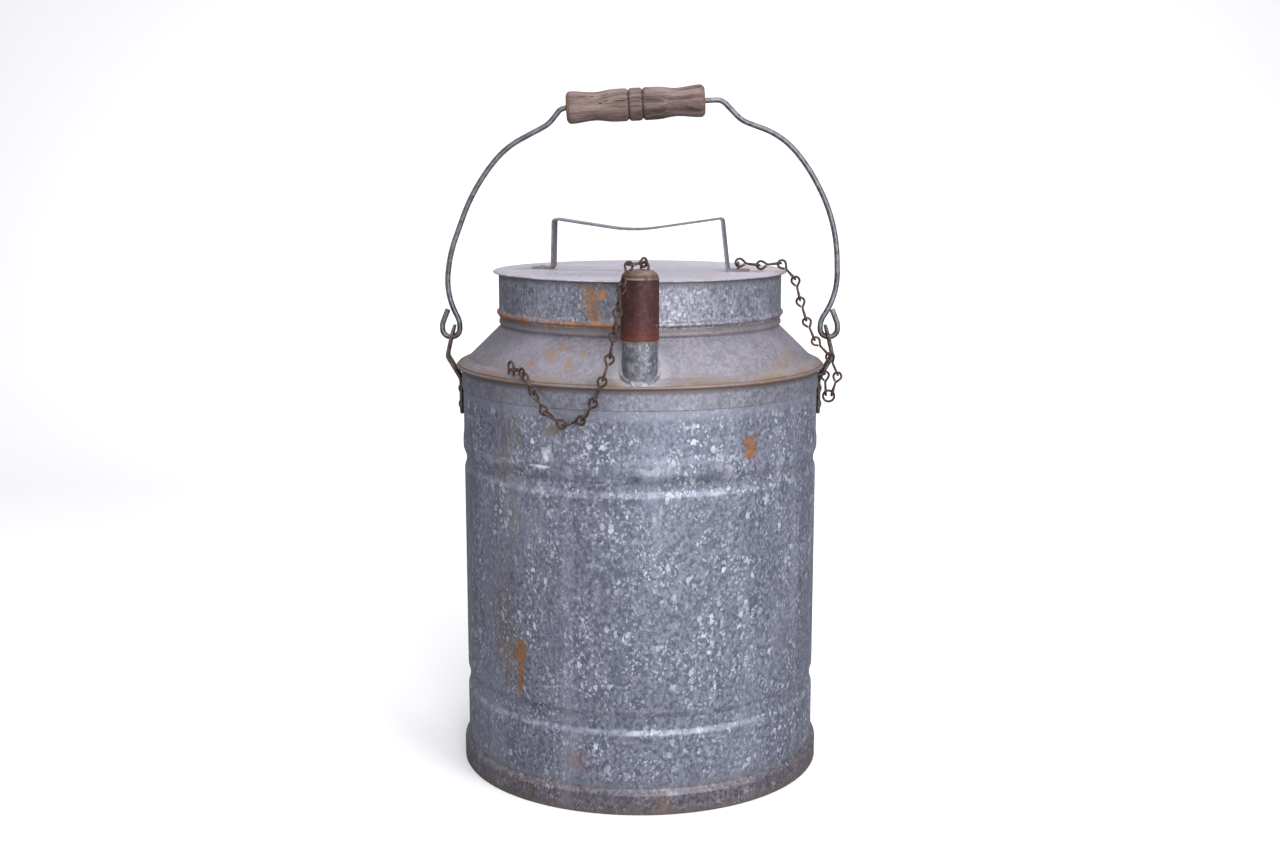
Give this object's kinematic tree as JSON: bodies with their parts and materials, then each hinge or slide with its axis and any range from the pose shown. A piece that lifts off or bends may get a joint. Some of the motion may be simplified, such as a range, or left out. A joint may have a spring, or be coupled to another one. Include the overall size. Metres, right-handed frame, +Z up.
{
  "type": "lidded carrying can",
  "caption": "Galvanised round can with a slip-on lid, strip handle, wire bail with wood grip, capped spout and keeper chains.",
  "frame": {"origin": "centre of the foot's bearing edge, on the can's axis", "axes": "+Z up along the can's axis, -Y toward the spout, +X toward the ear on the side of the lid's chain"},
  "size_m": [0.2778, 0.26, 0.4697],
  "materials": {
    "body_zinc": "mottled galvanised zinc, weathered",
    "base_zinc": "dark weathered zinc",
    "foot_zinc": "worn galvanised zinc",
    "seam_zinc": "galvanised fold with a rusty edge",
    "shoulder_zinc": "smooth grey zinc with tan stains",
    "spout_zinc": "dark zinc with pale speckles",
    "solder": "dull grey solder",
    "ear_iron": "dark rusty iron",
    "chain_iron": "dark rusty iron wire",
    "lid_zinc": "smooth grey zinc",
    "skirt_zinc": "speckled zinc with orange rust on its bead",
    "handle_steel": "plain grey galvanised strip",
    "cap_rust": "dark red-brown rust",
    "bail_steel": "dark grey steel wire",
    "grip_wood": "weathered grey-brown turned wood"
  },
  "bodies": {
    "can": {"body_shell": "body_zinc", "side_seam": "body_zinc", "base_plate": "base_zinc", "foot_hoop": "foot_zinc", "seam_fold": "seam_zinc", "shoulder": "shoulder_zinc", "neck": "shoulder_zinc", "spout_tube": "spout_zinc", "spout_solder": "solder", "ear_left": "ear_iron", "ear_right": "ear_iron", "ear_rivets": "ear_iron", "shoulder_staple": "chain_iron", "wall_eye": "chain_iron", "cap_link_13": "chain_iron"},
    "lid": {"lid_top": "lid_zinc", "lid_skirt": "skirt_zinc", "lid_handle": "handle_steel", "handle_rivet": "handle_steel", "lid_staple": "chain_iron", "lid_link_1": "chain_iron", "lid_link_2": "chain_iron", "lid_link_3": "chain_iron"},
    "cap": {"cap_shell": "cap_rust", "cap_staple": "chain_iron", "cap_link_1": "chain_iron", "cap_link_2": "chain_iron", "cap_link_3": "chain_iron", "cap_link_4": "chain_iron", "cap_link_5": "chain_iron"},
    "bail": {"bail": "bail_steel"},
    "grip": {"grip": "grip_wood"},
    "cap_link_6": {"cap_link_6": "chain_iron"},
    "cap_link_7": {"cap_link_7": "chain_iron"},
    "cap_link_8": {"cap_link_8": "chain_iron"},
    "cap_link_9": {"cap_link_9": "chain_iron"},
    "cap_link_10": {"cap_link_10": "chain_iron"},
    "cap_link_11": {"cap_link_11": "chain_iron"},
    "cap_link_12": {"cap_link_12": "chain_iron"},
    "lid_link_4": {"lid_link_4": "chain_iron"},
    "lid_link_5": {"lid_link_5": "chain_iron"},
    "lid_link_6": {"lid_link_6": "chain_iron"},
    "lid_link_7": {"lid_link_7": "chain_iron"},
    "lid_link_8": {"lid_link_8": "chain_iron"},
    "lid_link_9": {"lid_link_9": "chain_iron"},
    "lid_link_10": {"lid_link_10": "chain_iron"},
    "chain_ring": {"chain_ring": "chain_iron"}
  },
  "joints": [
    {"name": "lid_lift", "type": "slide", "parent": "can", "child": "lid", "axis": [0, 0, 1], "range_m": [0, 0.016]},
    {"name": "cap_lift", "type": "slide", "parent": "can", "child": "cap", "axis": [0, 0, 1], "range_m": [0, 0.02]},
    {"name": "bail_swing", "type": "hinge", "parent": "can", "child": "bail", "pos_m": [0, 0, 0.298], "axis": [1, 0, 0], "range_deg": [-100, 100]},
    {"name": "grip_spin", "type": "hinge", "parent": "bail", "child": "grip", "pos_m": [0, 0, 0.4565], "axis": [0.9986, 0, 0.0523], "continuous": true},
    {"name": "cap_link_12_turn", "type": "hinge", "parent": "can", "child": "cap_link_12", "pos_m": [-0.07405, -0.10381, 0.2868], "axis": [-0.788, -0.6157, 0], "range_deg": [0, 38]},
    {"name": "cap_link_11_turn", "type": "hinge", "parent": "cap_link_12", "child": "cap_link_11", "pos_m": [-0.06754, -0.11032, 0.27543], "axis": [-0.6088, -0.7934, 0], "range_deg": [-24, 0]},
    {"name": "cap_link_10_turn", "type": "hinge", "parent": "cap_link_11", "child": "cap_link_10", "pos_m": [-0.05991, -0.11472, 0.26375], "axis": [-0.4147, -0.91, 0], "range_deg": [0, 14]},
    {"name": "cap_link_9_turn", "type": "hinge", "parent": "cap_link_10", "child": "cap_link_9", "pos_m": [-0.04832, -0.11872, 0.25578], "axis": [-0.3907, -0.9205, 0], "range_deg": [-2, 0]},
    {"name": "cap_link_8_turn", "type": "hinge", "parent": "cap_link_9", "child": "cap_link_8", "pos_m": [-0.03585, -0.12507, 0.26006], "axis": [-0.4384, -0.8988, 0], "range_deg": [-22, 0]},
    {"name": "cap_link_7_turn", "type": "hinge", "parent": "cap_link_8", "child": "cap_link_7", "pos_m": [-0.02844, -0.12852, 0.27219], "axis": [-0.3007, -0.9537, 0], "range_deg": [-2, 0]},
    {"name": "cap_link_6_turn", "type": "hinge", "parent": "cap_link_7", "child": "cap_link_6", "pos_m": [-0.02304, -0.12947, 0.28575], "axis": [-0.0872, -0.9962, 0], "range_deg": [0, 28]},
    {"name": "lid_link_10_turn", "type": "hinge", "parent": "can", "child": "lid_link_10", "pos_m": [0.12672, -0.01845, 0.27442], "axis": [0.0698, 0.9976, 0], "range_deg": [-79, 0]},
    {"name": "chain_ring_turn", "type": "hinge", "parent": "lid_link_10", "child": "chain_ring", "pos_m": [0.12774, -0.01852, 0.25983], "axis": [0.0698, 0.9976, 0], "range_deg": [-32, 0]},
    {"name": "lid_link_4_turn", "type": "hinge", "parent": "lid", "child": "lid_link_4", "pos_m": [0.1056, -0.0162, 0.33908], "axis": [0.1392, 0.9903, 0], "range_deg": [-2, 0]},
    {"name": "lid_link_5_turn", "type": "hinge", "parent": "lid_link_4", "child": "lid_link_5", "pos_m": [0.1091, -0.01669, 0.32488], "axis": [0.1392, 0.9903, 0], "range_deg": [0, 2]},
    {"name": "lid_link_6_turn", "type": "hinge", "parent": "lid_link_5", "child": "lid_link_6", "pos_m": [0.11358, -0.01732, 0.31097], "axis": [0.1219, 0.9925, 0], "range_deg": [0, 9]},
    {"name": "lid_link_7_turn", "type": "hinge", "parent": "lid_link_6", "child": "lid_link_7", "pos_m": [0.11949, -0.01794, 0.29761], "axis": [0.0872, 0.9962, 0], "range_deg": [0, 15]},
    {"name": "lid_link_8_turn", "type": "hinge", "parent": "lid_link_7", "child": "lid_link_8", "pos_m": [0.12963, -0.01865, 0.28709], "axis": [0.0698, 0.9976, 0], "range_deg": [-34, 0]},
    {"name": "lid_link_9_turn", "type": "hinge", "parent": "lid_link_8", "child": "lid_link_9", "pos_m": [0.13556, -0.01907, 0.27373], "axis": [0.0698, 0.9976, 0], "range_deg": [-49, 0]}
  ],
  "couplings": [
    {"joint": "cap_link_12_turn", "follows": "cap_lift", "rad_per_m": 32.24},
    {"joint": "cap_link_11_turn", "follows": "cap_lift", "rad_per_m": -19.923},
    {"joint": "cap_link_10_turn", "follows": "cap_lift", "rad_per_m": 11.258},
    {"joint": "cap_link_9_turn", "follows": "cap_lift", "rad_per_m": -1.209},
    {"joint": "cap_link_8_turn", "follows": "cap_lift", "rad_per_m": -18.516},
    {"joint": "cap_link_7_turn", "follows": "cap_lift", "rad_per_m": -0.705},
    {"joint": "cap_link_6_turn", "follows": "cap_lift", "rad_per_m": 23.966},
    {"joint": "lid_link_10_turn", "follows": "lid_lift", "rad_per_m": -84.797},
    {"joint": "chain_ring_turn", "follows": "lid_lift", "rad_per_m": -34.04},
    {"joint": "lid_link_4_turn", "follows": "lid_lift", "rad_per_m": -0.764},
    {"joint": "lid_link_5_turn", "follows": "lid_lift", "rad_per_m": 1.3},
    {"joint": "lid_link_6_turn", "follows": "lid_lift", "rad_per_m": 8.526},
    {"joint": "lid_link_7_turn", "follows": "lid_lift", "rad_per_m": 15.793},
    {"joint": "lid_link_8_turn", "follows": "lid_lift", "rad_per_m": -35.529},
    {"joint": "lid_link_9_turn", "follows": "lid_lift", "rad_per_m": -52.782}
  ]
}
